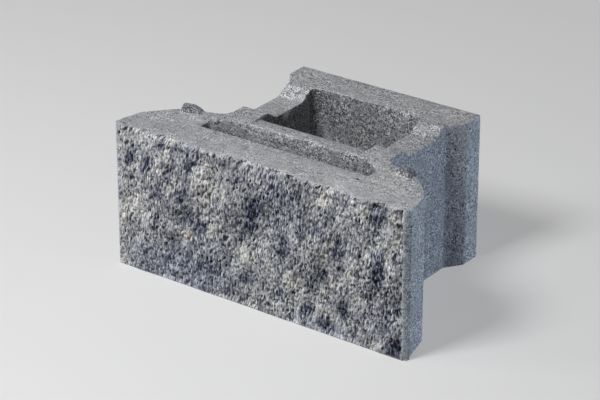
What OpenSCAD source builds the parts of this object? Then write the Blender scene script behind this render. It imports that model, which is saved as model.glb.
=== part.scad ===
// Split-face retaining wall block, dry-cast in one piece of concrete.
// A wide face panel with two wings, a slot behind the face, an open rear core
// between two saddle-topped webs, a flared tail and a pair of locating lugs.
// X runs along the face, Y from the face to the tail and Z up, in millimetres.
// The origin is at the centre of the base.

/* [Block] */
// Width of the face
face_width = 457.2; // [420:0.1:520]
// Height of the bed and top faces, without the lugs
height = 203.2; // [150:0.1:260]
// Depth from the proudest point of the split face to the back of the tail
depth = 304.8; // [285:0.1:350]

/* [Face panel] */
// Depth of the split relief, from the face corners to the proudest point
split_depth = 14.8; // [6:0.1:20]
// Angle between the face and the side of the groove that starts the split at each end
groove_angle = 45; // [35:1:60]
// Length of each moulded wing end, from the face corner to its back edge
wing_end = 44; // [30:0.5:52]
// How far each wing end leans in towards its back edge
wing_end_lean = 10.6; // [2:0.1:20]
// Run along the face from a wing end to the knee in the wing's back
knee_run = 31; // [20:0.5:45]
// Rise of the wing's back from its end to the knee
knee_rise = 35; // [20:0.5:40]
// Depth at which the wing's back runs into the neck
wing_root = 101; // [92:0.5:110]

/* [Front slot] */
// Wall left between the face corners and the slot
front_wall = 50.5; // [42:0.5:58]
// Width of the slot, from front to back
slot_width = 42.5; // [30:0.5:46]
// Length of the slot along its front wall
slot_length = 260; // [220:1:290]
// Length of the slot's square end before it slants in
slot_end = 18; // [10:0.5:20]

/* [Rear core, webs and tail] */
// Width of the rear core, which is also the slot's back wall
core_width = 170; // [140:1:190]
// Thickness of the wall between the slot and the core
cross_wall = 30; // [22:0.5:36]
// Thickness of each web
web_thickness = 39; // [30:0.5:45]
// Thickness of the tail behind the core
tail_wall = 51; // [45:0.5:60]
// Width of the tail
tail_width = 283; // [262:1:320]
// Length of the tail's flat ends
tail_end = 31; // [22:0.5:38]
// Length of the flare between a web and the tail's end
flare_length = 25; // [15:0.5:30]

/* [Top relief] */
// Depth of the saddle in the top of each web
saddle_depth = 12; // [6:0.5:20]
// Length of the saddle's flat bottom
saddle_floor = 58; // [40:1:64]
// Length of the slope at each end of the saddle
saddle_slope = 18; // [10:0.5:20]
// Drop of the cross wall's top at the slot
cross_drop_front = 1.5; // [0.5:0.1:3]
// Drop of the cross wall's top at the core
cross_drop_back = 6; // [4:0.1:10]

/* [Lugs] */
// Distance of each lug's middle from the centre line
lug_offset = 167; // [160:0.5:172]
// Length of a lug along the back of the wing
lug_length = 31; // [20:0.5:36]
// Thickness of a lug from front to back
lug_thickness = 12; // [8:0.5:16]
// Height of a lug above the top face
lug_height = 10; // [5:0.5:14]
// Length of a lug's flat crown, at its outer end
lug_crown = 12; // [8:0.5:14]

/* [Hidden] */

concrete_grey = [0.55, 0.56, 0.57];
// Extra length of every cut past the face that it opens
overrun = 10;

// Corner radii in plan
wing_end_radius = 4;
knee_radius = 40;
root_radius = 18;
web_radius = 2;
tail_radius = 2;
slot_front_radius = 1.5;
slot_tip_radius = 6;
slot_shoulder_radius = 36;
core_radius = 10;
// Bulge of the slot's slanted wall past a straight line
slot_bulge = 5;
// Segments in each rounded corner
corner_steps = 6;
// Most of an edge that one rounded corner may use
corner_limit_share = 0.45;

// A lug's steep outer end, its root inside the top face and its set-back from the wing's edge
lug_draft = 2;
lug_embed = 4;
lug_inset = 1;
// Where a lug's ramp turns down, as shares of its run and of the lug's height
lug_turn_run_share = 0.56;
lug_turn_height_share = 0.64;
// Corner radii of a lug: its crown's outer end, its ramp and its front corners in plan
lug_radius = 2;
lug_ramp_radius = 12;
lug_front_radius = 8;

// Stations from front to back, with Y zero at mid depth
front_y = -depth / 2;
corner_y = front_y + split_depth;
back_y = depth / 2;
slot_front_y = corner_y + front_wall;
slot_back_y = slot_front_y + slot_width;
core_front_y = slot_back_y + cross_wall;
core_back_y = back_y - tail_wall;
core_mid_y = (core_front_y + core_back_y) / 2;
tail_front_y = back_y - tail_end;

// Half widths
face_half = face_width / 2;
core_half = core_width / 2;
neck_half = core_half + web_thickness;
tail_half = tail_width / 2;
slot_half = slot_length / 2;

// Back edge of the right wing, from its knee to the neck
wing_tip = [face_half - wing_end_lean, corner_y + wing_end];
wing_knee = wing_tip + [-knee_run, knee_rise];
wing_neck = [neck_half, corner_y + wing_root];
wing_back = wing_neck - wing_knee;

// Split relief: cells of the rough surface along the face and up it
split_columns = 56;
split_rows = 18;
split_margin_share = 0.04;
// How far the lumps of the break lean to the right from foot to top, of the face's width
split_lean_share = 0.06;
// Break line along the top edge and along the foot, from left to right, of the split depth
top_edge_shares = [0.8, 0.5, 0.5, 0.6, 0.75];
foot_edge_shares = [0, 0.2, 0.25, 0.35, 0.45];
// Swell of the break between those lines, and how much of the face it fades over at each end
swell_lumps = [8, 3];
swell_share = 0.55;
swell_fade_share = 0.12;
// Lumps on the swell, chips on the lumps and the scatter of single cells
middle_lumps = [16, 6];
middle_share = 0.36;
chip_lumps = [34, 11];
chip_share = 0.34;
fine_share = 0.12;
// Least relief of the break
least_share = 0.05;
// Constants of the repeatable scatter function
scatter_u = 127.1;
scatter_v = 311.7;
scatter_gain = 4375.85;

function unit(v) = v / norm(v);

// Points of a rounded corner at q, between its neighbours p and r
function corner(p, q, r, radius) =
    let (
        a = unit(p - q),
        b = unit(r - q),
        half_angle = acos(a * b) / 2,
        room = corner_limit_share * min(norm(p - q), norm(r - q)),
        run = min(radius / tan(half_angle), room),
        arc_radius = run * tan(half_angle),
        centre = q + unit(a + b) * arc_radius / sin(half_angle),
        start = q + a * run - centre,
        stop = q + b * run - centre,
        turn = atan2(start.x * stop.y - start.y * stop.x, start * stop),
        first = atan2(start.y, start.x)
    )
    [for (k = [0:corner_steps])
        let (angle = first + turn * k / corner_steps)
        centre + arc_radius * [cos(angle), sin(angle)]];

// A closed outline with each point rounded by its own radius, zero for a sharp one
function rounded(points, radii) =
    let (count = len(points))
    [for (i = [0:count - 1])
        each radii[i] > 0
            ? corner(points[(i + count - 1) % count], points[i], points[(i + 1) % count], radii[i])
            : [points[i]]];

// A half outline, listed from front to back on the right, closed by its mirror image
function mirrored(points) =
    concat(points, [for (i = [len(points) - 1:-1:0]) [-points[i].x, points[i].y]]);

function mirrored_radii(radii) = concat(radii, [for (i = [len(radii) - 1:-1:0]) radii[i]]);

// Repeatable scatter from 0 to 1 at a whole-number place
function scatter(u, v) =
    let (s = sin(u * scatter_u + v * scatter_v) * scatter_gain)
    s - floor(s);

function ease(t) = t * t * (3 - 2 * t);

// Smooth lumps between scattered heights, at share s along the face and t up it
function lumps(s, t, counts, seed) =
    let (
        u = s * counts.x,
        v = t * counts.y,
        iu = floor(u),
        iv = floor(v),
        fu = ease(u - iu),
        fv = ease(v - iv),
        low = scatter(iu + seed, iv) * (1 - fu) + scatter(iu + 1 + seed, iv) * fu,
        high = scatter(iu + seed, iv + 1) * (1 - fu) + scatter(iu + 1 + seed, iv + 1) * fu
    )
    low * (1 - fv) + high * fv;

// A list of even stations, read at share s along it
function station(list, s) =
    let (
        u = min(max(s, 0), 1) * (len(list) - 1),
        k = min(floor(u), len(list) - 2)
    )
    list[k] * (k + 1 - u) + list[k + 1] * (u - k);

// Relief of the break, in front of the corner line and never past the proudest point
function relief(i, j) =
    let (
        s = (1 + split_margin_share) * i / split_columns - split_margin_share / 2,
        t = min(max((1 + 2 * split_margin_share) * j / split_rows - split_margin_share, 0), 1),
        along = s + 1 - split_lean_share * t,
        edges = station(foot_edge_shares, s) * (1 - t) + station(top_edge_shares, s) * t,
        fade = min(max(min(s, 1 - s) / swell_fade_share, 0), 1),
        swell = swell_share * fade * 4 * t * (1 - t) * lumps(along, t, swell_lumps, 0),
        middle = middle_share * (lumps(along, t, middle_lumps, split_columns) - 0.5),
        chips = chip_share * (lumps(along, t, chip_lumps, 2 * split_columns) - 0.5),
        fine = fine_share * (scatter(i, j + split_rows) - 0.5)
    )
    split_depth * min(max(edges + swell + middle + chips + fine, least_share), 1);

// Plan of the block before it is split from its twin
module block_plan() {
    groove_run = (split_depth + overrun) / tan(groove_angle);
    half = [
        [face_half - groove_run, front_y - overrun],
        [face_half, corner_y],
        wing_tip,
        wing_knee,
        wing_neck,
        [neck_half, tail_front_y - flare_length],
        [tail_half, tail_front_y],
        [tail_half, back_y]
    ];
    radii = [0, 0, wing_end_radius, knee_radius, root_radius, web_radius, tail_radius, tail_radius];
    polygon(rounded(mirrored(half), mirrored_radii(radii)));
}

// Plan of the slot behind the face: square ends that slant in to the cross wall
module slot_plan() {
    half = [
        [slot_half, slot_front_y],
        [slot_half, slot_front_y + slot_end],
        [core_half, slot_back_y]
    ];
    shoulder_point = [
        (slot_half + core_half) / 2 + slot_bulge / 2,
        (slot_front_y + slot_end + slot_back_y) / 2 + slot_bulge
    ];
    outline = [half[0], half[1], shoulder_point, half[2]];
    radii = [slot_front_radius, slot_tip_radius, slot_shoulder_radius, 0];
    polygon(rounded(mirrored(outline), mirrored_radii(radii)));
}

module core_plan() {
    half = [[core_half, core_front_y], [core_half, core_back_y]];
    polygon(rounded(mirrored(half), mirrored_radii([0, core_radius])));
}

// The waste that splits away from the face: flat in front, broken behind
module split_waste() {
    columns = split_columns + 1;
    reach_x = face_half * (1 + split_margin_share);
    reach_z = height * split_margin_share;
    waste_y = front_y - 2 * overrun;
    broken = [for (j = [0:split_rows]) for (i = [0:split_columns]) [
        -reach_x + 2 * reach_x * i / split_columns,
        corner_y - relief(i, j),
        -reach_z + (height + 2 * reach_z) * j / split_rows
    ]];
    base = len(broken);
    flat = [
        [-reach_x, waste_y, -reach_z],
        [reach_x, waste_y, -reach_z],
        [reach_x, waste_y, height + reach_z],
        [-reach_x, waste_y, height + reach_z]
    ];
    cells = [for (j = [0:split_rows - 1]) for (i = [0:split_columns - 1])
        let (a = j * columns + i, b = a + 1, c = a + columns, d = c + 1)
        each (i + j) % 2 == 0 ? [[a, b, d], [a, d, c]] : [[a, b, c], [b, d, c]]];
    bottom = concat([base, base + 1], [for (i = [split_columns:-1:0]) i]);
    top = concat([base + 2, base + 3], [for (i = [0:split_columns]) split_rows * columns + i]);
    left = concat([base + 3, base], [for (j = [0:split_rows]) j * columns]);
    right = concat([base + 1, base + 2], [for (j = [split_rows:-1:0]) j * columns + split_columns]);
    front = [base + 3, base + 2, base + 1, base];
    polyhedron(concat(broken, flat), concat(cells, [bottom, top, left, right, front]));
}

// A shallow cut across both webs, sloped at its ends
module web_saddles() {
    half_floor = saddle_floor / 2;
    half_mouth = half_floor + saddle_slope;
    rotate([90, 0, 90])
        linear_extrude(2 * (neck_half + overrun), center = true)
            polygon([
                [core_mid_y - half_mouth, height],
                [core_mid_y - half_floor, height - saddle_depth],
                [core_mid_y + half_floor, height - saddle_depth],
                [core_mid_y + half_mouth, height],
                [core_mid_y + half_mouth, height + overrun],
                [core_mid_y - half_mouth, height + overrun]
            ]);
}

// The cross wall's top slopes down from the slot to the core
module cross_wall_slope() {
    rotate([90, 0, 90])
        linear_extrude(core_width, center = true)
            polygon([
                [slot_back_y, height - cross_drop_front],
                [core_front_y, height - cross_drop_back],
                [core_front_y, height + overrun],
                [slot_back_y, height + overrun]
            ]);
}

// A raised key on the right wing, upright at its outer end and ramped at its inner end, rounded in front
module lug() {
    along = (wing_knee.x - lug_offset) / (wing_knee.x - wing_neck.x);
    seat = wing_knee + along * wing_back;
    tilt = atan2(-wing_back.y, -wing_back.x);
    half_length = lug_length / 2;
    ramp_start = half_length - lug_draft - lug_crown;
    ramp_run = ramp_start + half_length;
    side = [
        [half_length, -lug_embed],
        [half_length, 0],
        [half_length - lug_draft, lug_height],
        [ramp_start, lug_height],
        [ramp_start - lug_turn_run_share * ramp_run, lug_turn_height_share * lug_height],
        [-half_length, 0],
        [-half_length, -lug_embed]
    ];
    side_radii = [0, 0, lug_radius, lug_ramp_radius, lug_ramp_radius, 0, 0];
    plan = [
        [half_length, 0],
        [-half_length, 0],
        [-half_length, -lug_thickness],
        [half_length, -lug_thickness]
    ];
    plan_radii = [0, 0, lug_front_radius, lug_front_radius];
    translate([seat.x, seat.y, height])
        rotate(tilt)
            translate([0, -lug_inset, 0])
                intersection() {
                    rotate([90, 0, 0])
                        linear_extrude(lug_thickness)
                            polygon(rounded(side, side_radii));
                    translate([0, 0, -lug_embed])
                        linear_extrude(lug_embed + lug_height)
                            polygon(rounded(plan, plan_radii));
                }
}

module wall_block() {
    color(concrete_grey)
        difference() {
            union() {
                difference() {
                    linear_extrude(height) block_plan();
                    split_waste();
                }
                for (side = [0, 1])
                    mirror([side, 0, 0]) lug();
            }
            translate([0, 0, -overrun])
                linear_extrude(height + 2 * overrun) {
                    slot_plan();
                    core_plan();
                }
            web_saddles();
            cross_wall_slope();
        }
}

wall_block();
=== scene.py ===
# %% [markdown]
# A split-face wall block, dressed for the camera.
# The real block is one piece of dry-cast concrete. Its top, bed, webs and tail took their shape
# from a steel mould, and its face is the place where it was split from a twin.
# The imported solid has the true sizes, so it is loaded first and nothing here moves or resizes it.

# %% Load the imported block
import math

import bmesh
import bpy
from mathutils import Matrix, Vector


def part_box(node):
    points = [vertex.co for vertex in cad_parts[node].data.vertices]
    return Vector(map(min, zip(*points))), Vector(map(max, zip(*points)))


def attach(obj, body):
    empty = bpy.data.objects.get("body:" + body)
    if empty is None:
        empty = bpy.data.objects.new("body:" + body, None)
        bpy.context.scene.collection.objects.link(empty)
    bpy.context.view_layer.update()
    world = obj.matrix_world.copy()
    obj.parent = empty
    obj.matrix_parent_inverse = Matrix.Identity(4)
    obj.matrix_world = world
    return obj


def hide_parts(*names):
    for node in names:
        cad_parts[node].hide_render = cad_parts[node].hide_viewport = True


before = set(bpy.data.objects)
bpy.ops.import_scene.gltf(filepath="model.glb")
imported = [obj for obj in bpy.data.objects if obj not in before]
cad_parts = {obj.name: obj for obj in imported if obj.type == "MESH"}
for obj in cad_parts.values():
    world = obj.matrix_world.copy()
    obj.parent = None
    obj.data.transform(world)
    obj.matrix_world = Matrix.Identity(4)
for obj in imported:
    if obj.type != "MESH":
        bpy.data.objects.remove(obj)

block_low, block_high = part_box("wall_block")
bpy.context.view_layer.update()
print("block from", tuple(round(v, 4) for v in block_low), "to", tuple(round(v, 4) for v in block_high))

# %% [markdown]
# Geometry nodes and shader nodes are both graphs of small sums.
# Wiring each sum by hand hides the formula, so one small class stands for a wire in either kind of graph.
# Adding or multiplying two wires adds the Math node, and one method makes every other node.


# %% A wire that can be added and multiplied
class Wire:
    """An output socket of a node. Sums on wires add Math nodes to the graph that holds it."""

    def __init__(self, socket):
        self.socket = socket

    def node(self, kind, settings=None, inputs=()):
        """Adds a node beside this wire's own, sets it up, feeds it and returns its first live output."""
        graph = self.socket.id_data
        made = graph.nodes.new(kind)
        for name, value in (settings or {}).items():
            if name == "stops":
                self.set_stops(made.color_ramp, value)
            else:
                setattr(made, name, value)
        live = [socket for socket in made.inputs if socket.enabled]
        if isinstance(inputs, dict):
            pairs = [(next(s for s in live if s.name == name), value) for name, value in inputs.items()]
        else:
            pairs = zip(live, inputs)
        for socket, value in pairs:
            if isinstance(value, Wire):
                graph.links.new(value.socket, socket)
            else:
                socket.default_value = value
        return Wire(next(socket for socket in made.outputs if socket.enabled))

    @staticmethod
    def set_stops(ramp, stops):
        """Gives a colour ramp its stops, each a place from 0 to 1 and a colour."""
        while len(ramp.elements) < len(stops):
            ramp.elements.new(1.0)
        for element, (place, colour) in zip(ramp.elements, stops):
            element.position = place
            element.color = colour

    def output(self, name):
        """Another output of the node that this wire leaves."""
        return Wire(self.socket.node.outputs[name])

    def math(self, operation, *values):
        return self.node("ShaderNodeMath", {"operation": operation}, values)

    def __add__(self, other):
        return self.math("ADD", self, other)

    __radd__ = __add__

    def __sub__(self, other):
        return self.math("SUBTRACT", self, other)

    def __rsub__(self, other):
        return self.math("SUBTRACT", other, self)

    def __mul__(self, other):
        return self.math("MULTIPLY", self, other)

    __rmul__ = __mul__

    def maximum(self, other):
        """The larger of two values."""
        return self.math("MAXIMUM", self, other)

    def absolute(self):
        """The value without its sign."""
        return self.math("ABSOLUTE", self)

    def span(self, first, second):
        """From the first number to the second as this value goes from 0 to 1."""
        return self * (second - first) + first

    def rise(self, low, high):
        """0 below low and 1 above high, with a soft step between them."""
        return self.node("ShaderNodeMapRange", {"interpolation_type": "SMOOTHSTEP"},
                         {"Value": self, "From Min": low, "From Max": high})

    def part(self, axis):
        """The X, Y or Z part of a vector."""
        return self.node("ShaderNodeSeparateXYZ", None, [self]).output(axis)

    def plus(self, other):
        """The sum of two vectors."""
        return self.node("ShaderNodeVectorMath", {"operation": "ADD"}, [self, other])

    def minus(self, other):
        """One vector less another."""
        return self.node("ShaderNodeVectorMath", {"operation": "SUBTRACT"}, [self, other])

    def scaled(self, factors):
        """A vector with each of its parts multiplied."""
        return self.node("ShaderNodeVectorMath", {"operation": "MULTIPLY"}, [self, factors])

    def dot(self, other):
        """The dot product of two vectors."""
        return self.node("ShaderNodeVectorMath", {"operation": "DOT_PRODUCT"}, [self, other])

    def blend(self, first, second):
        """From the first colour to the second as this value goes from 0 to 1."""
        return self.node("ShaderNodeMix", {"data_type": "RGBA"}, {"Factor": self, "A": first, "B": second})

    def tint(self, colour, tint):
        """The colour, multiplied by the tint as this value goes from 0 to 1."""
        return self.node("ShaderNodeMix", {"data_type": "RGBA", "blend_type": "MULTIPLY"},
                         {"Factor": self, "A": colour, "B": tint})


print("wires ready for geometry and shader graphs")

# %% [markdown]
# The camera stands where the photographer's did: to the right of the face and above it, with a long lens.
# Its place was worked out from the block's own corners, so it is written as an angle round the block,
# a height above the horizon and a distance from a point inside the block.

# %% Set up the camera
PHOTO_WIDTH = 600
SENSOR_WIDTH = 36.0
FOCAL_PIXELS = 2677
VIEW_AZIMUTH = math.radians(35.95)
VIEW_ELEVATION = math.radians(25.21)
VIEW_DISTANCE = 3.425
VIEW_TARGET = Vector((-0.0091, -0.0376, 0.1130))
FARTHEST_SEEN = 50.0


def camera_at_photo_angle():
    """A camera that sees the block as the photograph does."""
    lens = bpy.data.cameras.new("photo_camera")
    lens.sensor_width = SENSOR_WIDTH
    lens.lens = SENSOR_WIDTH * FOCAL_PIXELS / PHOTO_WIDTH
    lens.clip_end = FARTHEST_SEEN
    camera = bpy.data.objects.new("photo_camera", lens)
    bpy.context.collection.objects.link(camera)
    away = Vector((math.sin(VIEW_AZIMUTH) * math.cos(VIEW_ELEVATION),
                   -math.cos(VIEW_AZIMUTH) * math.cos(VIEW_ELEVATION),
                   math.sin(VIEW_ELEVATION)))
    camera.location = VIEW_TARGET + away * VIEW_DISTANCE
    camera.rotation_euler = (-away).to_track_quat("-Z", "Y").to_euler()
    bpy.context.scene.camera = camera
    return camera


camera = camera_at_photo_angle()
print("camera at", tuple(round(v, 3) for v in camera.location), "with a lens of",
      round(camera.data.lens, 1), "mm")

# %% [markdown]
# The solid's flat sides are a few long triangles, which leaves nothing to roughen.
# A subdivision would keep their slivers, so the block is rebuilt by a voxel remesh instead:
# a skin of small squares, all about the same size, that also takes the knife edge off each arris.

# %% Give the block an even skin
SKIN_EDGE = 0.00120
MERGE_DISTANCE = 1e-6


def merged_copy(node_name, copy_name):
    """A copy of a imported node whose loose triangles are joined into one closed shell."""
    shell = bmesh.new()
    shell.from_mesh(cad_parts[node_name].data)
    bmesh.ops.remove_doubles(shell, verts=shell.verts, dist=MERGE_DISTANCE)
    mesh = bpy.data.meshes.new(copy_name)
    shell.to_mesh(mesh)
    shell.free()
    copy = bpy.data.objects.new(copy_name, mesh)
    bpy.context.collection.objects.link(copy)
    return copy


def settle(piece):
    """Turns what a piece's modifiers make into its own plain mesh and removes them."""
    graph = bpy.context.evaluated_depsgraph_get()
    made = bpy.data.meshes.new_from_object(piece.evaluated_get(graph), depsgraph=graph)
    old = piece.data
    piece.modifiers.clear()
    piece.data = made
    made.name = piece.name
    bpy.data.meshes.remove(old)


block = merged_copy("wall_block", "split_face_block")
remesh = block.modifiers.new("even_skin", "REMESH")
remesh.mode = "VOXEL"
remesh.voxel_size = SKIN_EDGE
settle(block)
print("even skin of", len(block.data.polygons), "squares")

# %% [markdown]
# The solid has the large lumps of the break. The finer ones follow a rule, so a formula can make them.
# Noise alone would only give soft hills. A cell texture gives each chip a centre and a random tilt,
# which makes angular facets.
# The helpers read the place along the face and up it, so the geometry and the colours can share them.

# %% Noise and facets
# Millimetres in a metre
PER_METRE = 1000
# The break runs longer up the face than along it, and leans to the right
STREAK = 0.27
LEAN = 0.06
MIDDLE = (0.5, 0.5, 0.5)
# Facets tilt more to the sides than up or down
FACET_TILT = (1.0, 0.3, 0.0)


def on_the_face(place, streak=STREAK, lean=LEAN):
    """The place along the face and up it, as a flat vector in which leaning streaks are upright and short."""
    up = place.part("Z")
    return place.node("ShaderNodeCombineXYZ", None, [place.part("X") - up * lean, up * streak, 0.0])


def noise(place, size, detail=2.0, roughness=0.5):
    """Soft noise from 0 to 1 with hills of about that size."""
    return place.node("ShaderNodeTexNoise", None,
                      {"Vector": place, "Scale": 1.0 / size, "Detail": detail, "Roughness": roughness})


def unevenness(place, size, detail=2.0, roughness=0.5):
    """The same noise around 0, from -0.5 to 0.5."""
    return noise(place, size, detail, roughness) - 0.5


def warped(place, size, reach):
    """The place pushed about by noise, so that straight borders wander."""
    push = noise(place, size).output("Color").minus(MIDDLE)
    return place.plus(push.scaled((reach, reach, 0.0)))


def tilted_cells(place, size, slope):
    """Height of flat facets, each about that size and tilted its own way, up to that slope."""
    cell = place.node("ShaderNodeTexVoronoi", {"voronoi_dimensions": "2D"},
                      {"Vector": place, "Scale": 1.0 / size})
    tilt = cell.output("Color").minus(MIDDLE).scaled(FACET_TILT)
    return tilt.dot(place.minus(cell.output("Position"))) * (2.0 * slope)


print("streaks", round(1.0 / STREAK, 1), "times as long as wide")

# %% [markdown]
# On a split face the chips and grains stand out, and crevices are left where grains were torn out.
# The wide crevices come in clusters and the small ones are all over.
# They could be sculpted by hand, but a sum of chips, grains and crevices covers the whole face evenly
# and can be read again by the material, which darkens the crevices.

# %% Formula of the broken face
CHIP_SIZE = 0.0070
CHIP_SLOPE = 0.24
CHIP_WARP_SIZE = 0.009
CHIP_WARP = 0.007
FACET_SIZE = 0.0029
FACET_SLOPE = 0.34
GRAIN_SIZE = 0.0030
GRAIN_HEIGHT = 0.0038
CREVICE_SIZE = 0.0025
CREVICE_DEPTH = 0.0028
CREVICE_CLUSTER_SIZE = 0.022
CREVICE_CROWDING = 0.30
# A crevice is where the noise is below the first value, and its rim ends at the second
WIDE_CREVICE = (0.35, 0.44)
SMALL_CREVICE = (0.34, 0.42)
# Size and depth of the small crevices, of the wide ones
SMALL_CREVICE_SHARE = 0.6


def crevices(place):
    """1 in the crevices of the break and 0 between them: wide ones in clusters, small ones all over."""
    flat = on_the_face(place)
    crowding = unevenness(flat, CREVICE_CLUSTER_SIZE) * CREVICE_CROWDING
    wide = 1.0 - (noise(flat, CREVICE_SIZE, detail=1.5) + crowding).rise(*WIDE_CREVICE)
    small = 1.0 - noise(flat, CREVICE_SIZE * SMALL_CREVICE_SHARE, detail=1.0).rise(*SMALL_CREVICE)
    return wide.maximum(small * SMALL_CREVICE_SHARE)


def broken_relief(place):
    """Height of the chips, grains and crevices in metres."""
    flat = on_the_face(place)
    wandering = warped(flat, CHIP_WARP_SIZE, CHIP_WARP)
    chips = tilted_cells(wandering, CHIP_SIZE, CHIP_SLOPE) + tilted_cells(wandering, FACET_SIZE, FACET_SLOPE)
    grains = unevenness(flat, GRAIN_SIZE, detail=1.5) * GRAIN_HEIGHT
    return chips + grains - crevices(place) * CREVICE_DEPTH


print("break of", CHIP_SIZE * PER_METRE, "mm chips and", GRAIN_SIZE * PER_METRE, "mm grains")

# %% [markdown]
# The moulded sides are flat, but dry-cast concrete leaves the mould with a sandy, open skin:
# slight waves and pits where a grain tore out.
# Pits painted on would vanish in raking light, so they are pressed into the mesh.
# Every push here goes inwards, so the block never grows past its true size.

# %% Formula of the moulded skin
WAVE_SIZE = 0.045
WAVE_DEPTH = 0.0004
PIT_SIZE = 0.0055
PIT_DEPTH = 0.0010
PIT_SHARE = 0.10
# A grain is full out to the first share of its cell and gone at the second
GRAIN_BOWL = (0.12, 0.55)
SHARE_BORDER = 0.05


def scattered(place, size, share):
    """1 in the middle of a share of all grains of that size, 0 between them."""
    cell = place.node("ShaderNodeTexVoronoi", None, {"Vector": place, "Scale": 1.0 / size})
    bowl = 1.0 - cell.rise(*GRAIN_BOWL)
    chosen = cell.output("Color").part("X")
    return bowl * (1.0 - chosen.rise(share - SHARE_BORDER, share + SHARE_BORDER))


def pits(place):
    """1 in the middle of each torn-out grain, 0 between them."""
    return scattered(place, PIT_SIZE, PIT_SHARE)


def moulded_relief(place):
    """Depth of the moulded skin below its flat, in metres, never above it."""
    return noise(place, WAVE_SIZE, detail=3.0) * WAVE_DEPTH + pits(place) * PIT_DEPTH


print("skin with pits up to", PIT_DEPTH * PER_METRE, "mm deep")

# %% [markdown]
# The whole skin follows rules, so one geometry node graph moves every point of it.
# First the formula of where a point goes. The solid's flat facets are softened on the face, which is then
# broken again finely. Its top arris has lost chips and larger spalls, and its foot ends in a nearly
# straight line, because the splitting blade bit there. Elsewhere the arrises crumble unevenly.

# %% Where each point goes
SOFTEN_STEPS = 8
WEAR_STEPS = 2
WEAR_STRENGTH = 0.5
CRUMBLE_SIZE = 0.010
CRUMBLE_RANGE = (0.48, 0.75)
ARRIS_CHIP_SIZE = 0.010
ARRIS_CHIP_RANGE = (0.42, 0.72)
SPALL_SIZE = 0.024
SPALL_RANGE = (0.50, 0.62)
# Height of the spalls, of the strip along an edge in which the break is calmer
SPALL_REACH = 2.0
TOP_CALM = 0.4
FOOT_CALM = 0.5
FOOT_STRAIGHTNESS = 0.85


def blurred(place, iterations, weight):
    """The place averaged with its neighbours on the mesh."""
    return place.node("GeometryNodeBlurAttribute", {"data_type": "FLOAT_VECTOR"},
                      {"Value": place, "Iterations": iterations, "Weight": weight})


def pressed_skin(place, facing, split):
    """The place softened on the face, and worn and pitted elsewhere."""
    softened = blurred(place, SOFTEN_STEPS, split)
    crumble = noise(place, CRUMBLE_SIZE, detail=3.0).rise(*CRUMBLE_RANGE)
    worn = blurred(place, WEAR_STEPS, crumble * WEAR_STRENGTH)
    smooth = place.node("ShaderNodeMix", {"data_type": "VECTOR"}, {"Factor": split, "A": worn, "B": softened})
    depth = moulded_relief(place) * (1.0 - split)
    inwards = facing.node("ShaderNodeVectorMath", {"operation": "SCALE"},
                          {"Vector": facing, "Scale": 0.0 - depth})
    return smooth.plus(inwards)


def break_height(given, place, at_top, at_foot):
    """How far the break stands out, in metres: calmer at its edges, with chips off the top arris."""
    top = given.output("Edge Height")
    near_top = place.part("Z").rise(top - given.output("Edge Calm") * SPALL_REACH, top)
    chips = noise(on_the_face(place), ARRIS_CHIP_SIZE).rise(*ARRIS_CHIP_RANGE) * at_top
    spalls = noise(place, SPALL_SIZE, detail=3.0, roughness=0.6).rise(*SPALL_RANGE) * near_top
    lost = chips * given.output("Edge Chips") + spalls * given.output("Edge Spalls")
    strength = 1.0 - at_top * TOP_CALM - at_foot * FOOT_CALM
    return broken_relief(place) * strength - given.output("Break Set Back") - lost


def roughened_place(given, place, facing, split, breaks):
    """Where each point goes: broken on the face, worn and pitted elsewhere."""
    pressed = pressed_skin(place, facing, split)
    top = given.output("Edge Height")
    calm = given.output("Edge Calm")
    at_top = place.part("Z").rise(top - calm, top)
    at_foot = 1.0 - place.part("Z").rise(given.output("Bed Limit"), calm)
    broken = pressed.part("Y") - break_height(given, place, at_top, at_foot) * breaks
    from_left = place.part("X") + given.output("Half Width")
    foot_line = given.output("Face Line") - from_left * given.output("Foot Slope")
    footed = broken + (foot_line - broken) * at_foot * breaks * FOOT_STRAIGHTNESS
    limited = footed.maximum(given.output("Front Limit"))
    above_bed = pressed.part("Z").maximum(given.output("Bed Limit"))
    return place.node("ShaderNodeCombineXYZ", None, [pressed.part("X"), limited, above_bed])


print("skin blurred", SOFTEN_STEPS, "times on the face and", WEAR_STEPS, "times at the arrises")

# %% [markdown]
# A moulded groove bounds the face at each end. The break starts at its edge, rises from there and wanders
# a little, so the places in front of that slope are held back before anything else is done.
# Which points belong to the break could be picked by hand. A rule picks them here: those that lie in front,
# look forward and are clear of the grooves.

# %% Where the break is
GROOVE_BORDER = 0.0025
GROOVE_WANDER_SIZE = 0.008
# How far a normal has to point forward on the break, and up on a top
LOOKS_FORWARD = (0.35, 0.60)
LOOKS_UP = (0.45, 0.75)


def trimmed_at_grooves(given, place):
    """The place held back near each end of the face, so that the break rises from a straight line."""
    relief = given.output("Groove Relief")
    inwards = given.output("Half Width") - relief - place.part("X").absolute()
    reach = relief + inwards.maximum(0.0) * given.output("Groove Rise")
    depth = place.part("Y").maximum(given.output("Face Line") - reach)
    return place.node("ShaderNodeCombineXYZ", None, [place.part("X"), depth, place.part("Z")])


def clear_of_grooves(given, place):
    """1 between the two grooves and 0 in them, with a border that wanders."""
    ahead = (given.output("Face Line") - place.part("Y")).maximum(0.0)
    wander = unevenness(place, GROOVE_WANDER_SIZE) * given.output("Groove Wander")
    to_groove = given.output("Half Width") - place.part("X").absolute() - ahead + wander
    return to_groove.rise(0.0, GROOVE_BORDER)


def skin_masks(given, place, facing):
    """Which points the break moves, which of them show it, and which points stand upright."""
    face_back = given.output("Face Back")
    in_front = 1.0 - place.part("Y").rise(face_back, face_back + given.output("Face Follow"))
    breaks = in_front * clear_of_grooves(given, place)
    split = (0.0 - facing.part("Y")).rise(*LOOKS_FORWARD) * breaks
    upright = 1.0 - facing.part("Z").absolute().rise(*LOOKS_UP)
    return breaks, split, upright


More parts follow.
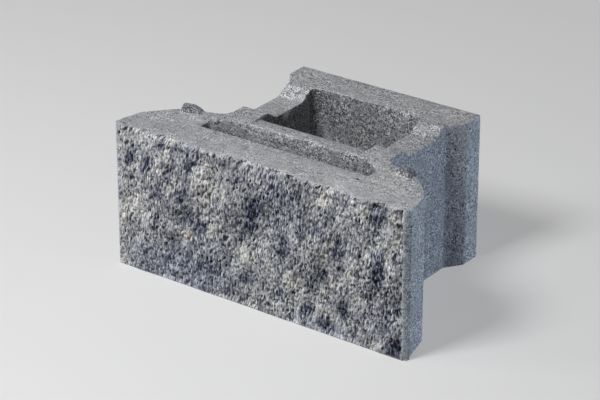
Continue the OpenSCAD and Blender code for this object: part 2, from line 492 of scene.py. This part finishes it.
print("break starts within", GROOVE_BORDER * PER_METRE, "mm of each groove")

# %% [markdown]
# The graph joins these rules. Its sizes are inputs with names, so it could roughen another block too.
# It stores which points belong to the break and which stand upright, for the material to read.
# Nothing in it is instanced, but it ends by realising instances and setting the material all the same,
# so that what leaves it is one plain mesh.

# %% Build the graph that roughens the block
SPLIT_DEPTH = 0.0148
FACE_LINE = block_low.y + SPLIT_DEPTH
FACE_STRIP = 0.030
LUG_HEIGHT = 0.010
FRONT_CLEARANCE = 0.0002
GRAPH_INPUTS = {
    "Face Line": FACE_LINE,
    "Half Width": block_high.x,
    "Face Back": FACE_LINE + FACE_STRIP,
    "Face Follow": 0.020,
    "Groove Relief": 0.0063,
    "Groove Rise": 0.35,
    "Groove Wander": 0.0045,
    "Break Set Back": 0.0012,
    "Edge Chips": 0.0025,
    "Edge Spalls": 0.0045,
    "Edge Height": block_high.z - LUG_HEIGHT,
    "Edge Calm": 0.0060,
    "Foot Slope": 0.0145,
    "Front Limit": block_low.y + FRONT_CLEARANCE,
    "Bed Limit": block_low.z,
}


def graph_with_inputs(name, sizes):
    """An empty geometry node graph that takes a mesh, named sizes and a material."""
    graph = bpy.data.node_groups.new(name, "GeometryNodeTree")
    graph.interface.new_socket("Geometry", in_out="INPUT", socket_type="NodeSocketGeometry")
    for size in sizes:
        graph.interface.new_socket(size, in_out="INPUT", socket_type="NodeSocketFloat")
    graph.interface.new_socket("Material", in_out="INPUT", socket_type="NodeSocketMaterial")
    graph.interface.new_socket("Geometry", in_out="OUTPUT", socket_type="NodeSocketGeometry")
    return graph


def roughening_graph():
    """A geometry node graph that turns the even skin into broken and moulded concrete."""
    graph = graph_with_inputs("roughen_block", GRAPH_INPUTS)
    given = Wire(graph.nodes.new("NodeGroupInput").outputs["Geometry"])
    place = trimmed_at_grooves(given, given.node("GeometryNodeInputPosition"))
    facing = given.node("GeometryNodeInputNormal")
    breaks, split, upright = skin_masks(given, place, facing)
    moved = roughened_place(given, place, facing, split, breaks)
    geometry = given
    for name, value in (("split", split), ("upright", upright)):
        geometry = geometry.node("GeometryNodeStoreNamedAttribute", {"data_type": "FLOAT", "domain": "POINT"},
                                 {"Geometry": geometry, "Name": name, "Value": value})
    geometry = geometry.node("GeometryNodeSetPosition", None, {"Geometry": geometry, "Position": moved})
    geometry = geometry.node("GeometryNodeRealizeInstances", None, [geometry])
    geometry = geometry.node("GeometryNodeSetMaterial", None,
                             {"Geometry": geometry, "Material": given.output("Material")})
    result = graph.nodes.new("NodeGroupOutput")
    graph.links.new(geometry.socket, result.inputs["Geometry"])
    return graph


roughen = roughening_graph()
print("graph of", len(roughen.nodes), "nodes with inputs", list(GRAPH_INPUTS))

# %% [markdown]
# Concrete is a mix of grey paste, sand and stone. The mould leaves a skin of grey paste with sand in it.
# The panel's top was struck off smooth, and behind it the skin is coarser.
# Painted shade darkens the sheltered walls, most of all just below their rims, and the right web's top is
# darker.
# These masks could be painted, but then each change of the mesh would need new paint.
# Masks that read the place don't, so they are written as ranges from side to side and from front to back.

# %% Where the skin is coarse, and where it is darker by painted shade
# Where the smooth panel ends and the coarser skin begins, from front to back
COARSE_FROM = -0.105
COARSE_TO = -0.062
COARSE_PATCH_SIZE = 0.03
COARSE_WANDER = 0.05
# The coarse skin comes farther forward at the right end of the panel
RIGHT_END = (0.12, 0.21)
RIGHT_END_PULL = 0.05
# Places with painted shade, and the darker top of the right web: from, to and soft border, from side to side
# and then from front to back
CORE_WALL = ((0.0, 0.084, 0.004), (0.090, 0.1035, 0.002))
SLOT_WALL = ((0.0, 0.100, 0.006), (-0.0475, -0.0420, 0.001))
SLOT_RIGHT_END = ((0.090, 0.132, 0.006), (-0.090, -0.0475, 0.001))
WEB_WALL = ((0.121, 0.1255, 0.002), (-0.030, 0.094, 0.004))
RIGHT_WEB_TOP = ((0.088, 0.124, 0.010), (-0.005, 0.094, 0.015))
# How much darker they are: painted shade on inner walls low down and at the rim and on the webs' outer walls,
# and the right web's darker top
RIM = (0.165, 0.201)
CORE_SHADE = (0.14, 0.29)
SLOT_SHADE = (0.04, 0.10)
SLOT_END_SHADE = (0.16, 0.26)
WEB_WALL_SHADE = 0.05
WEB_TOP_DARKENING = 0.09


def coarseness(place, upright):
    """0 on the smooth top of the panel, 1 behind it, at its right end, on upright sides and on the lugs."""
    wander = unevenness(place, COARSE_PATCH_SIZE) * COARSE_WANDER
    right_end = place.part("X").rise(*RIGHT_END) * RIGHT_END_PULL
    behind = (place.part("Y") + wander + right_end).rise(COARSE_FROM, COARSE_TO)
    return behind.maximum(upright)


def between(value, low, high, soft):
    """1 from low to high and 0 outside them, with a soft border."""
    return value.rise(low - soft, low) * (1.0 - value.rise(high, high + soft))


def within(side, depth, area):
    """1 inside an area of the plan and 0 outside it, with a soft border."""
    sides, depths = area
    return between(side, *sides) * between(depth, *depths)


def painted_shade_and_darker_web_top(place, upright):
    """Painted shade on the walls of the core and the slot and on the outer walls of the webs, and the darker
    top of the right web.
    """
    side = place.part("X")
    across = side.absolute()
    depth = place.part("Y")
    near_rim = place.part("Z").rise(*RIM)
    # Painted shade on the walls of the core and the slot, strongest just below the rim, and on the webs'
    # outer walls
    core = within(across, depth, CORE_WALL) * near_rim.span(*CORE_SHADE)
    slot = within(across, depth, SLOT_WALL) * near_rim.span(*SLOT_SHADE)
    slot_end = within(side, depth, SLOT_RIGHT_END) * near_rim.span(*SLOT_END_SHADE)
    webs = within(across, depth, WEB_WALL) * WEB_WALL_SHADE
    web_top = within(side, depth, RIGHT_WEB_TOP) * WEB_TOP_DARKENING
    return (core + slot + slot_end + webs) * upright + web_top * (1.0 - upright)


print("coarse skin behind y", COARSE_TO, "and grime below the rims at z", RIM[1])

# %% [markdown]
# Sand and grit show through the paste, with pale specks between them, and painted shade darkens the pits.
# Each could be a colour of its own. It is simpler to add up what makes the skin paler or darker,
# as one tone from 0 to 1, and to turn the sum into a colour at the end.
# Calm and rough patches keep the skin from looking evenly sprayed.

# %% Tones of the sandy skin
CLOUD_SIZE = 0.05
CLOUD_TONE = 0.35
SAND_SIZE = 0.0018
SAND_TONE = 1.6
GRIT_SIZE = 0.0050
GRIT_TONE = 0.62
# Grit was drawn out along the face when the top was struck off
STRUCK = (0.65, 1.0, 1.0)
SPECK_SIZE = 0.0030
SPECK_SHARE = 0.11
ROUGH_PATCH_SIZE = 0.026
ROUGH_PATCH_RANGE = (0.36, 0.64)
# Strengths on smooth and coarse skin, and in calm and rough patches
SPECK_TONE = (0.26, 0.44)
MOTTLE_WHERE_COARSE = (0.95, 1.35)
MOTTLE_IN_PATCHES = (0.70, 1.60)
PIT_SHADE = 0.05
COARSE_PIT_SHADE = 0.09
UPRIGHT_PIT_SHADE = 0.08


def rough_patches(place):
    """0 in the calm patches of the concrete and 1 in the rough ones."""
    return noise(place, ROUGH_PATCH_SIZE).rise(*ROUGH_PATCH_RANGE)


def sandy_tone(place, upright):
    """How clouds, sand, grit, specks and the painted shade in pits change the tone of the paste."""
    coarse = coarseness(place, upright)
    clouds = unevenness(place, CLOUD_SIZE, detail=4.0, roughness=0.6) * CLOUD_TONE
    sand = unevenness(place, SAND_SIZE, detail=1.5, roughness=0.6) * SAND_TONE
    grit = unevenness(place.scaled(STRUCK), GRIT_SIZE, detail=2.5, roughness=0.65) * GRIT_TONE
    patches = rough_patches(place).span(*MOTTLE_IN_PATCHES)
    mottle = (sand + grit) * coarse.span(*MOTTLE_WHERE_COARSE) * patches
    specks = scattered(place, SPECK_SIZE, SPECK_SHARE) * coarse.span(*SPECK_TONE)
    # Painted shade in the pits, stronger on coarse and upright skin
    pit_shade = PIT_SHADE + coarse * COARSE_PIT_SHADE + upright * UPRIGHT_PIT_SHADE
    return mottle + clouds + specks - pits(place) * pit_shade


print("sand of", SAND_SIZE * PER_METRE, "mm and grit of", GRIT_SIZE * PER_METRE, "mm")

# %% [markdown]
# The colour of the skin goes from dark sand through grey paste to pale sand, along one ramp.
# Some places have a tone of their own: the lugs are the darkest, partly by painted shade, upright sides get
# painted shade, the upright sides of the tail get painted light, and the sides of the grooves get a paler and
# cooler painted light.

# %% Colours of the moulded skin


def srgb(red, green, blue):
    """A colour given in screen values from 0 to 255, as the linear values that shaders use."""
    parts = [value / 255.0 for value in (red, green, blue)]
    return (*[v / 12.92 if v <= 0.04045 else ((v + 0.055) / 1.055) ** 2.4 for v in parts], 1.0)


PASTE = srgb(162, 163, 167)
SAND_LIGHT = srgb(228, 228, 230)
SAND_DARK = srgb(70, 71, 76)
MOULDED_STOPS = [(0.0, SAND_DARK), (0.5, PASTE), (1.0, SAND_LIGHT)]
PASTE_TONE = 0.54
# The right end of the panel's top is paler, and the upright sides of the tail get painted light
RIGHT_TOP = (0.04, 0.14)
RIGHT_TOP_BACK = (-0.10, -0.06)
RIGHT_TOP_TONE = 0.07
TAIL = (0.105, 0.120)
TAIL_PAINTED_LIGHT = 0.07
# Painted shade on every upright side, for the self-shadowing of its rough skin
UPRIGHT_SHADE = 0.05
# The lugs are darker, the right one more than the left: a coarser skin, with painted shade for the
# self-shadowing of their rough surface
LUG_FOOT = (0.2036, 0.2051)
LUG_SIDES = (0.0, 0.1)
LUG_SHADE_AND_TONE = (0.30, 0.38)
# The sides of the grooves lie in front of this line, and get a paler, cooler painted light, stronger at the
# foot than higher up
GROOVE_GAP = 0.0004
GROOVE_BLEND = 0.0020
GROOVE_BACK = (FACE_LINE - GROOVE_GAP - GROOVE_BLEND, FACE_LINE - GROOVE_GAP)
GROOVE_HEIGHTS = (0.0, 0.15)
GROOVE_PAINTED_LIGHT = (0.27, 0.12)
GROOVE_COOL_LIGHT_TINT = srgb(242, 250, 255)


def moulded_colour(place, upright):
    """Grey paste with sand and grit, coarser and more pitted away from the panel's top."""
    side, depth, up = place.part("X"), place.part("Y"), place.part("Z")
    right_top = side.rise(*RIGHT_TOP) * (1.0 - depth.rise(*RIGHT_TOP_BACK)) * (1.0 - upright)
    # Painted light on the upright sides of the tail
    tail = upright * depth.rise(*TAIL)
    # Painted shade, with a coarser skin, darkens the lugs, the right one more
    lugs = up.rise(*LUG_FOOT) * side.rise(*LUG_SIDES).span(*LUG_SHADE_AND_TONE)
    groove = (1.0 - depth.rise(*GROOVE_BACK)) * upright
    tone = PASTE_TONE + sandy_tone(place, upright) + right_top * RIGHT_TOP_TONE + tail * TAIL_PAINTED_LIGHT
    # The last term is painted shade on sheltered walls and the darker top of the right web
    tone = tone - lugs - upright * UPRIGHT_SHADE - painted_shade_and_darker_web_top(place, upright)
    # Painted light on the sides of the grooves: paler, most at the foot, then a cool tint
    tone = tone + groove * up.rise(*GROOVE_HEIGHTS).span(*GROOVE_PAINTED_LIGHT)
    colour = tone.node("ShaderNodeValToRGB", {"stops": MOULDED_STOPS}, [tone])
    return groove.tint(colour, GROOVE_COOL_LIGHT_TINT)


print("moulded skin: paste", [round(v, 3) for v in PASTE[:3]])

# %% [markdown]
# The break shows the inside of the mix: grey, charcoal and cream batches that were only half blended.
# Noise alone can't put them where this block has them.
# So those that stand out are listed one by one, each as a soft spot whose border wanders,
# and noise scatters weaker ones between them.

# %% Batches of charcoal and cream
# Each spot: place along the face and up it, half width and half height, in millimetres, and strength
CHARCOAL_SPOTS = [
    (-4, 141, 10, 18, 1.0), (-10, 116, 7, 10, 0.75), (187, 128, 8, 14, 0.8), (185, 106, 9, 16, 0.9),
    (210, 12, 14, 13, 1.0), (-15, 42, 9, 8, 0.75), (76, 25, 9, 10, 0.8), (136, 40, 9, 11, 0.6),
    (104, 78, 8, 11, 0.45), (87, 67, 8, 10, 0.4), (46, 112, 9, 9, 0.85), (38, 96, 7, 11, 0.75),
    (32, 36, 10, 10, 0.5), (-158, 88, 7, 9, 0.6), (-160, 74, 8, 9, 0.6), (-200, 162, 9, 10, 0.7),
    (-174, 159, 6, 12, 0.75), (-134, 152, 5, 13, 0.5), (-149, 190, 7, 9, 0.6), (-157, 127, 12, 11, 0.45),
    (-118, 132, 7, 9, 0.55), (-110, 96, 9, 12, 0.45), (-87, 92, 10, 12, 0.6), (-98, 72, 7, 10, 0.45),
    (-85, 42, 18, 14, 0.35), (-64, 39, 9, 12, 0.4), (-34, 116, 7, 13, 0.3), (216, 70, 9, 12, 0.6),
    (184, 181, 9, 10, 0.7), (187, 196, 9, 7, 0.55), (197, 161, 7, 8, 0.45), (176, 152, 6, 12, 0.5),
    (171, 74, 10, 9, 0.5), (125, 120, 11, 12, 0.5), (98, 145, 6, 11, 0.5), (18, 165, 7, 11, 0.55),
    (46, 181, 14, 8, 0.35), (61, 178, 7, 9, 0.45), (-31, 176, 10, 9, 0.35), (-87, 194, 8, 8, 0.4),
    (106, 14, 12, 8, 0.5), (35, 150, 42, 50, 0.3), (45, 96, 28, 24, 0.25), (-98, 174, 15, 13, 0.4)]
CREAM_SPOTS = [
    (-68, 152, 28, 34, 0.4), (-66, 98, 8, 12, 0.6), (-18, 76, 14, 10, 0.4), (103, 184, 11, 12, 0.7),
    (60, 60, 14, 14, 0.6), (-222, 70, 8, 60, 0.6), (-220, 170, 8, 20, 0.4), (-152, 148, 6, 14, 0.4),
    (111, 120, 6, 16, 0.5), (111, 72, 7, 12, 0.5), (80, 115, 8, 18, 0.35), (168, 188, 14, 8, 0.45),
    (-165, 43, 12, 12, 0.35), (165, 28, 10, 12, 0.4), (180, 10, 10, 8, 0.5), (150, 95, 18, 12, 0.3),
    (211, 158, 7, 10, 0.35), (115, 36, 10, 8, 0.45), (52, 192, 10, 7, 0.5), (-195, 100, 26, 70, 0.22),
    (218, 186, 8, 22, 0.5)]
COOL_SPOTS = [
    (-120, 25, 80, 38, 0.7), (-80, 60, 40, 30, 0.4), (110, 8, 60, 16, 0.5), (190, 40, 40, 30, 0.4)]
# A tan pebble that shows in the break
PEBBLES = [(-108, 76, 5, 6, 0.8)]
SPOT_LEAN = 0.28
SPOT_WANDER = 0.018
# The border wanders in wide bends and, half as far, in narrow ones
WIDE_BEND = 0.02
NARROW_BEND = 0.006
# A spot is full out to the first share of its size and gone at the second
SPOT_FADE = (0.35, 1.6)


def spots(place, places, wander=SPOT_WANDER):
    """Each spot's strength in its middle, fading to 0 at its wandering border."""
    flat = on_the_face(place, streak=1.0, lean=SPOT_LEAN)
    roaming = warped(warped(flat, WIDE_BEND, wander), NARROW_BEND, wander / 2)
    strengths = []
    for x, z, wide, tall, strength in places:
        middle = ((x - SPOT_LEAN * z) / PER_METRE, z / PER_METRE, 0.0)
        away = roaming.minus(middle).scaled((PER_METRE / wide, PER_METRE / tall, 0.0))
        reach = away.node("ShaderNodeVectorMath", {"operation": "LENGTH"}, [away])
        strengths.append((1.0 - reach.rise(*SPOT_FADE)) * strength)
    strongest = strengths[0]
    for strength in strengths[1:]:
        strongest = strongest.maximum(strength)
    return strongest


print(len(CHARCOAL_SPOTS), "charcoal,", len(CREAM_SPOTS), "cream and", len(COOL_SPOTS), "cool spots")

# %% [markdown]
# Each grain of the break picks its own tone around that of its batch, and a few crystals get a painted glint.
# Hollows are dirtier, and the height formula paints shade into them and light onto the high grains.
# Along the top arris, pale patches are painted highlight where the chipped edge catches the light, and partly
# fresh chips.
# Sharing that formula with the geometry keeps each dark hollow where the mesh has one.

# %% Tones of the grains
TONE_GRAIN_SIZE = 0.0017
# Strength of the grains in calm and rough patches
GRAIN_TONE = (1.05, 1.80)
TONE_CLUSTER_SIZE = 0.0070
CLUSTER_TONE = 0.5
# Painted light and shade for each metre of height, and dirt with painted shade in a crevice
RELIEF_LIGHT_AND_SHADE = 36.0
CREVICE_DIRT_AND_SHADE = 0.28
PALE_GRAIN_SIZE = 0.0040
PALE_GRAIN_SHARE = 0.12
PALE_GRAIN_TONE = 0.20
# A painted glint on a few grains
GLINT_SIZE = 0.0034
GLINT_SHARE = 0.02
PAINTED_GLINT_TONE = 0.55
ARRIS = (0.197, 0.2025)
ARRIS_PATCH_SIZE = 0.014
ARRIS_PATCH_RANGE = (0.40, 0.65)
# The arris is less pale to the right
ARRIS_SIDES = (0.08, 0.16)
ARRIS_HIGHLIGHT_AND_CHIP_TONE = 0.16
ARRIS_RIGHT_SHARE = 0.3


def grain_tone(place, flat):
    """How single grains, clusters of grains, painted light and shade from the height, dirt and painted shade
    in crevices, pale grains and a painted glint here and there change the tone.
    """
    grain = unevenness(flat, TONE_GRAIN_SIZE, detail=1.0) * rough_patches(place).span(*GRAIN_TONE)
    cluster = unevenness(flat, TONE_CLUSTER_SIZE, roughness=0.6) * CLUSTER_TONE
    # Painted light on high grains and painted shade in hollows, with dirt and more painted shade in the
    # crevices
    height = broken_relief(place) * RELIEF_LIGHT_AND_SHADE - crevices(place) * CREVICE_DIRT_AND_SHADE
    pale = scattered(flat, PALE_GRAIN_SIZE, PALE_GRAIN_SHARE) * PALE_GRAIN_TONE
    painted_glints = scattered(flat, GLINT_SIZE, GLINT_SHARE) * PAINTED_GLINT_TONE
    return grain + cluster + height + pale + painted_glints


def arris_highlight_and_chips(place, flat):
    """How much paler the top arris is: painted highlight where the chipped edge catches the light, and partly
    fresh chips.
    """
    patches = noise(flat, ARRIS_PATCH_SIZE).rise(*ARRIS_PATCH_RANGE)
    kept = place.part("X").rise(*ARRIS_SIDES).span(1.0, ARRIS_RIGHT_SHARE)
    # Painted highlight along the chipped top arris, with some pale fresh chips
    return place.part("Z").rise(*ARRIS) * patches * kept * ARRIS_HIGHLIGHT_AND_CHIP_TONE


print("grains of", TONE_GRAIN_SIZE * PER_METRE, "mm and glints on", GLINT_SHARE, "of the face")

# %% [markdown]
# The tone then runs along a ramp from the black of a pit to pale stone.
# Charcoal darkens it grain by grain, since even in a dark batch some grains stay grey.
# A multiplied tint gives cream batches their warmth and dark ones a touch of navy,
# and hardly changes the tone.

# %% Colours of the broken face
BREAK_PIT = srgb(24, 26, 36)
BREAK_SHADE = srgb(90, 92, 101)
BREAK_GREY = srgb(158, 159, 163)
BREAK_STONE = srgb(232, 232, 231)
BREAK_STOPS = [(0.0, BREAK_PIT), (0.33, BREAK_SHADE), (0.62, BREAK_GREY), (1.0, BREAK_STONE)]
CREAM_TINT = srgb(255, 251, 239)
NAVY_TINT = srgb(226, 234, 255)
PEBBLE_TINT = srgb(255, 232, 196)
PEBBLE_WANDER = 0.004
BREAK_TONE = 0.66
# Weak batches that noise scatters: pale and dark ones, small dusky ones and broad changes
BATCH_STREAK = 0.4
BATCH_SIZE = 0.016
BATCH_TONE = 0.7
DUSK_SIZE = 0.012
DUSK_RANGE = (0.50, 0.70)
BROAD_SIZE = 0.060
BROAD_TONE = 0.5
# Darkness of a batch on its grey grains and on its dark ones
SPECKLE_SIZE = 0.0024
SPECKLE_RANGE = (0.40, 0.58)
CHARCOAL_TONE = (0.18, 0.68)
DUSK_TONE = (0.05, 0.27)
CREAM_TONE = 0.20
DUSK_COOLNESS = 0.6
WARM_RANGE = (-0.05, 0.20)
WARM_SHARE = 0.4


def broken_colour(place):
    """Crushed stone from dark to pale, in charcoal and cream batches that are only half blended."""
    flat = on_the_face(place)
    blotchy = on_the_face(place, streak=BATCH_STREAK, lean=SPOT_LEAN)
    charcoal = spots(place, CHARCOAL_SPOTS)
    cream = spots(place, CREAM_SPOTS)
    batch = unevenness(blotchy, BATCH_SIZE, detail=2.5, roughness=0.55)
    dusk = noise(blotchy, DUSK_SIZE, detail=3.0, roughness=0.6).rise(*DUSK_RANGE)
    broad = unevenness(place, BROAD_SIZE, detail=1.0)
    speckle = noise(flat, SPECKLE_SIZE, detail=1.0).rise(*SPECKLE_RANGE)
    tone = BREAK_TONE + grain_tone(place, flat) + arris_highlight_and_chips(place, flat)
    tone = tone + batch * BATCH_TONE + broad * BROAD_TONE + cream * CREAM_TONE
    tone = tone - charcoal * speckle.span(*CHARCOAL_TONE) - dusk * speckle.span(*DUSK_TONE)
    colour = tone.node("ShaderNodeValToRGB", {"stops": BREAK_STOPS}, [tone])
    warm = cream.maximum(batch.rise(*WARM_RANGE) * WARM_SHARE)
    cool = charcoal.maximum(spots(place, COOL_SPOTS)).maximum(dusk * DUSK_COOLNESS)
    blended = cool.tint(warm.tint(colour, CREAM_TINT), NAVY_TINT)
    return spots(place, PEBBLES, wander=PEBBLE_WANDER).tint(blended, PEBBLE_TINT)


print("broken face: grey, charcoal and cream batches")

# %% [markdown]
# One material covers the whole block, as one concrete does.
# Two materials would leave a hard line between the break and the skin. Here the stored mask blends them,
# and grains too fine for the mesh are left to a bump.

# %% Make the concrete
SPECULAR = 0.25
# Roughness of the skin and of the break
ROUGHNESS = (0.86, 0.92)
GRAIN_BUMP_SIZE = 0.0016
SKIN_BUMP_SHARE = 0.5
BUMP_HEIGHT = 0.0011
BUMP_STRENGTH = 0.7


def concrete():
    """Dry-cast concrete: a moulded skin, and the break where the stored mask says so."""
    material = bpy.data.materials.new("dry_cast_concrete")
    material.use_nodes = True
    shader = material.node_tree.nodes["Principled BSDF"]
    shader.inputs["Specular IOR Level"].default_value = SPECULAR
    place = Wire(material.node_tree.nodes.new("ShaderNodeTexCoord").outputs["Object"])
    split = place.node("ShaderNodeAttribute", {"attribute_name": "split"}).output("Fac")
    upright = place.node("ShaderNodeAttribute", {"attribute_name": "upright"}).output("Fac")
    colour = split.blend(moulded_colour(place, upright), broken_colour(place))
    rough = split.span(*ROUGHNESS)
    sandy = noise(place, GRAIN_BUMP_SIZE, detail=3.0, roughness=0.65) * SKIN_BUMP_SHARE
    torn = noise(on_the_face(place), GRAIN_BUMP_SIZE, roughness=0.6)
    fine = sandy + (torn - sandy) * split
    bump = place.node("ShaderNodeBump", None,
                      {"Strength": BUMP_STRENGTH, "Distance": BUMP_HEIGHT, "Height": fine})
    links = material.node_tree.links
    links.new(colour.socket, shader.inputs["Base Color"])
    links.new(rough.socket, shader.inputs["Roughness"])
    links.new(bump.socket, shader.inputs["Normal"])
    return material


dry_cast = concrete()
print("concrete of", len(dry_cast.node_tree.nodes), "nodes")

# %% [markdown]
# Now the graph runs on the even skin. The result has far more triangles than a reusable part should carry,
# so a collapse thins it afterwards. A vertex group keeps the thinning off the broken face,
# where every grain shows, and lets the flat sides pay for it.

# %% Roughen the block and thin it
TRIANGLE_BUDGET = 190000
# Points whose mask is lower than this may be thinned
BREAK_MASK = 0.5


def run_graph(piece, graph, values):
    """Runs a geometry node graph on a piece, with its inputs set by their identifiers."""
    modifier = piece.modifiers.new(graph.name, "NODES")
    modifier.node_group = graph
    for item in graph.interface.items_tree:
        if item.in_out == "INPUT" and item.name in values:
            modifier[item.identifier] = values[item.name]
    settle(piece)


def thin(piece, triangles):
    """Collapses a piece to about that many triangles, sparing the broken face."""
    mask = piece.data.attributes["split"].data
    sides = [index for index in range(len(mask)) if mask[index].value < BREAK_MASK]
    group = piece.vertex_groups.new(name="may_thin")
    group.add(sides, 1.0, "REPLACE")
    before = sum(len(face.vertices) - 2 for face in piece.data.polygons)
    collapse = piece.modifiers.new("thin", "DECIMATE")
    collapse.ratio = min(1.0, triangles / before)
    collapse.vertex_group = group.name
    settle(piece)
    piece.vertex_groups.clear()


run_graph(block, roughen, {**GRAPH_INPUTS, "Material": dry_cast})
thin(block, TRIANGLE_BUDGET)
block.data.shade_smooth()
print("rough block of", len(block.data.polygons), "triangles")
print("materials", [material.name for material in block.data.materials])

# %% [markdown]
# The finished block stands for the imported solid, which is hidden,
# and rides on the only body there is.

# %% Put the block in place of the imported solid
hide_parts("wall_block")
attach(block, "root")
print("block rides on root")

# %% [markdown]
# The block stands on a plain pale floor. The camera sees the floor pale, with a little glow of its own
# so that it stays pale far from the lamps. Other rays see it darker and without the glow,
# so the floor keeps the block's shadow and doesn't flood its lower half with light.

# %% Lay the floor
FLOOR_REACH = 30.0
FLOOR_SEEN = 0.50
FLOOR_GLOW = 0.33
FLOOR_BOUNCE = 0.18
FLOOR_ROUGHNESS = 0.9
FLOOR_SPECULAR = 0.1


def grey(value):
    """A grey of that linear value."""
    return (value, value, value, 1.0)


def seen_ray(graph):
    """1 for rays that show a thing to the camera, directly, mirrored or through glass, and 0 for light."""
    ray = Wire(graph.nodes.new("ShaderNodeLightPath").outputs["Is Camera Ray"])
    mirrored = ray.output("Is Glossy Ray").maximum(ray.output("Is Transmission Ray"))
    return ray.maximum(mirrored)


def floor_material():
    """A matt floor that is pale to the camera and darker to the light it throws back."""
    material = bpy.data.materials.new("floor")
    material.use_nodes = True
    shader = material.node_tree.nodes["Principled BSDF"]
    shader.inputs["Roughness"].default_value = FLOOR_ROUGHNESS
    shader.inputs["Specular IOR Level"].default_value = FLOOR_SPECULAR
    shader.inputs["Emission Strength"].default_value = 1.0
    seen = seen_ray(material.node_tree)
    tone = seen.blend(grey(FLOOR_BOUNCE), grey(FLOOR_SEEN))
    glow = seen.blend(grey(0.0), grey(FLOOR_GLOW))
    material.node_tree.links.new(tone.socket, shader.inputs["Base Color"])
    material.node_tree.links.new(glow.socket, shader.inputs["Emission Color"])
    return material


def pale_floor():
    """A wide floor at the block's bed."""
    half = FLOOR_REACH / 2
    plan = [(-half, -half), (half, -half), (half, half), (-half, half)]
    mesh = bpy.data.meshes.new("floor")
    mesh.from_pydata([(x, y, block_low.z) for x, y in plan], [], [(0, 1, 2, 3)])
    mesh.materials.append(floor_material())
    floor = bpy.data.objects.new("floor", mesh)
    bpy.context.collection.objects.link(floor)
    return floor


floor = pale_floor()
print(floor.name, FLOOR_REACH, "m wide")

# %% [markdown]
# The light is that of a plain studio: a soft box high in front, one low on the left that rakes over
# the break, a weak one low in front to fill the shadows, and a cooler one to the right and behind,
# which picks out the ends of the block. That one is far off and no higher than the block,
# so hardly any of it falls into the core.
# The world gives a weak even fill and shows the camera a pale backdrop.

# %% Light the studio
WHITE = (1.0, 1.0, 1.0)
FAINT_BLUE = (0.93, 0.97, 1.0)
COOL_BLUE = (0.66, 0.80, 1.0)
LIGHTS = {
    "key": {"place": (-0.38, -1.40, 1.98), "wide": 0.7, "tall": 0.7, "power": 40.0, "colour": WHITE},
    "rake": {"place": (-2.4, -1.7, 0.60), "wide": 0.8, "tall": 0.6, "power": 34.0, "colour": WHITE},
    "front": {"place": (0.60, -2.5, 0.42), "wide": 0.7, "tall": 0.5, "power": 5.0, "colour": FAINT_BLUE},
    "side": {"place": (5.5, 4.37, 0.18), "wide": 3.5, "tall": 0.3, "power": 285.0, "colour": COOL_BLUE},
}
BACKDROP_SEEN = 0.86
WORLD_FILL = 0.04


def soft_box(name, place, wide, tall, power, colour):
    """An oblong area light aimed at the middle of the block."""
    lamp = bpy.data.lights.new(name, "AREA")
    lamp.shape = "RECTANGLE"
    lamp.size = wide
    lamp.size_y = tall
    lamp.energy = power
    lamp.color = colour
    box = bpy.data.objects.new(name, lamp)
    bpy.context.collection.objects.link(box)
    box.location = place
    aim = (block_low + block_high) / 2 - box.location
    box.rotation_euler = aim.to_track_quat("-Z", "Y").to_euler()
    return box


def studio_world():
    """A weak even fill that the camera sees as a pale backdrop."""
    world = bpy.data.worlds.new("studio")
    world.use_nodes = True
    background = world.node_tree.nodes["Background"]
    strength = seen_ray(world.node_tree).span(WORLD_FILL, BACKDROP_SEEN)
    world.node_tree.links.new(strength.socket, background.inputs["Strength"])
    background.inputs["Color"].default_value = (*WHITE, 1.0)
    bpy.context.scene.world = world


lamps = [soft_box(light_name, **light) for light_name, light in LIGHTS.items()]
studio_world()
bpy.context.scene.view_settings.view_transform = "Standard"
print("lights:", ", ".join(lamp.name for lamp in lamps))
